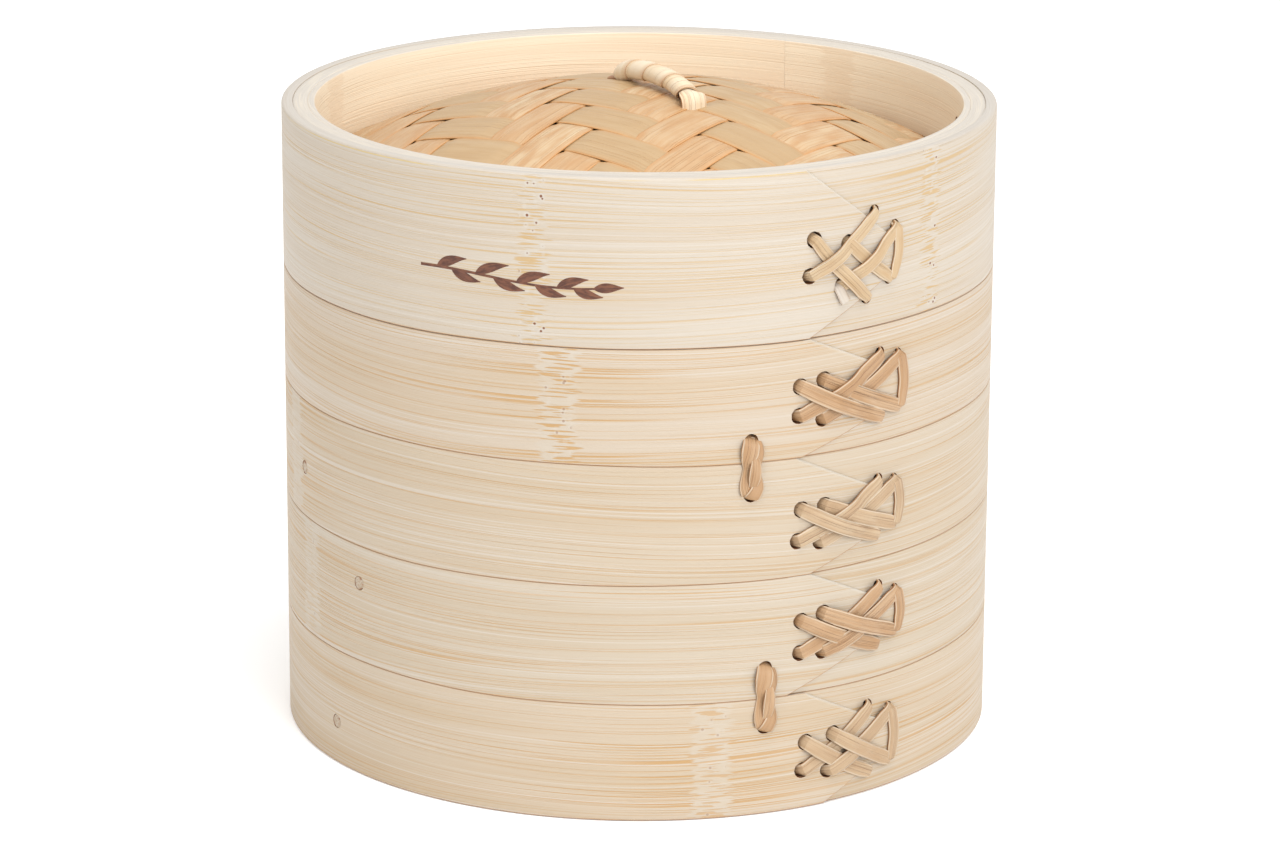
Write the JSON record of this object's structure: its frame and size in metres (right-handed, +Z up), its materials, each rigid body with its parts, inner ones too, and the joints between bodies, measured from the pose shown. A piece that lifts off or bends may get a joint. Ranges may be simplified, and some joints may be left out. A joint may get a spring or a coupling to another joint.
{
  "type": "bamboo steamer basket",
  "caption": "Round bamboo steamer: stacked baskets with laced hoops and slatted floors, under a lid with a woven dome and a small loop handle.",
  "frame": {"origin": "centre of the bottom rim, on the plane that the steamer stands on", "axes": "+Z up along the axis of the baskets, -Y to the front, where the hoops' lacings are a little to the right"},
  "size_m": [0.1524, 0.1524, 0.1429],
  "materials": {
    "hoop_bamboo": "sanded pale bamboo with fine lengthwise fibres",
    "band_bamboo": "sanded warm bamboo",
    "slat_bamboo": "planed bamboo",
    "lacing_strip": "split strip with a slight sheen",
    "peg_bamboo": "cut end grain",
    "weave_strip": "split bamboo strip, ribbed lengthwise",
    "liner_strip": "fine split bamboo strip",
    "handle_strip": "smooth split strip with a slight sheen"
  },
  "bodies": {
    "lower_basket": {"lower_back_tie": "lacing_strip", "lower_bottom_hoop": "hoop_bamboo", "lower_bottom_lacing": "lacing_strip", "lower_bottom_peg_back": "peg_bamboo", "lower_bottom_peg_front": "peg_bamboo", "lower_dowel_1": "slat_bamboo", "lower_dowel_2": "slat_bamboo", "lower_front_tie": "lacing_strip", "lower_inner_band": "band_bamboo", "lower_slat_1": "slat_bamboo", "lower_slat_2": "slat_bamboo", "lower_slat_3": "slat_bamboo", "lower_slat_4": "slat_bamboo", "lower_slat_5": "slat_bamboo", "lower_slat_6": "slat_bamboo", "lower_slat_7": "slat_bamboo", "lower_slat_8": "slat_bamboo", "lower_top_hoop": "hoop_bamboo", "lower_top_lacing": "lacing_strip", "lower_top_peg_back": "peg_bamboo", "lower_top_peg_front": "peg_bamboo"},
    "upper_basket": {"upper_back_tie": "lacing_strip", "upper_bottom_hoop": "hoop_bamboo", "upper_bottom_lacing": "lacing_strip", "upper_bottom_peg_back": "peg_bamboo", "upper_bottom_peg_front": "peg_bamboo", "upper_dowel_1": "slat_bamboo", "upper_dowel_2": "slat_bamboo", "upper_front_tie": "lacing_strip", "upper_inner_band": "band_bamboo", "upper_slat_1": "slat_bamboo", "upper_slat_2": "slat_bamboo", "upper_slat_3": "slat_bamboo", "upper_slat_4": "slat_bamboo", "upper_slat_5": "slat_bamboo", "upper_slat_6": "slat_bamboo", "upper_slat_7": "slat_bamboo", "upper_slat_8": "slat_bamboo", "upper_top_hoop": "hoop_bamboo", "upper_top_lacing": "lacing_strip", "upper_top_peg_back": "peg_bamboo", "upper_top_peg_front": "peg_bamboo"},
    "lid": {"lid_bottom_band": "band_bamboo", "lid_bottom_peg_left": "peg_bamboo", "lid_bottom_peg_right": "peg_bamboo", "lid_hoop": "hoop_bamboo", "lid_lacing": "lacing_strip", "lid_liner": "liner_strip", "lid_top_band": "band_bamboo", "lid_top_peg_left": "peg_bamboo", "lid_top_peg_right": "peg_bamboo", "lid_weave": "weave_strip"},
    "handle": {"handle_core": "handle_strip", "handle_wrap": "handle_strip"}
  },
  "joints": [
    {"name": "upper_basket_lift", "type": "slide", "parent": "lower_basket", "child": "upper_basket", "axis": [0, 0, 1], "range_m": [0, 0.08]},
    {"name": "lid_lift", "type": "slide", "parent": "upper_basket", "child": "lid", "axis": [0, 0, 1], "range_m": [0, 0.08]},
    {"name": "handle_tilt", "type": "hinge", "parent": "lid", "child": "handle", "pos_m": [0.0035, 0.002, 0.1366], "axis": [0.5373, -0.8434, 0], "range_deg": [-15, 15]}
  ]
}
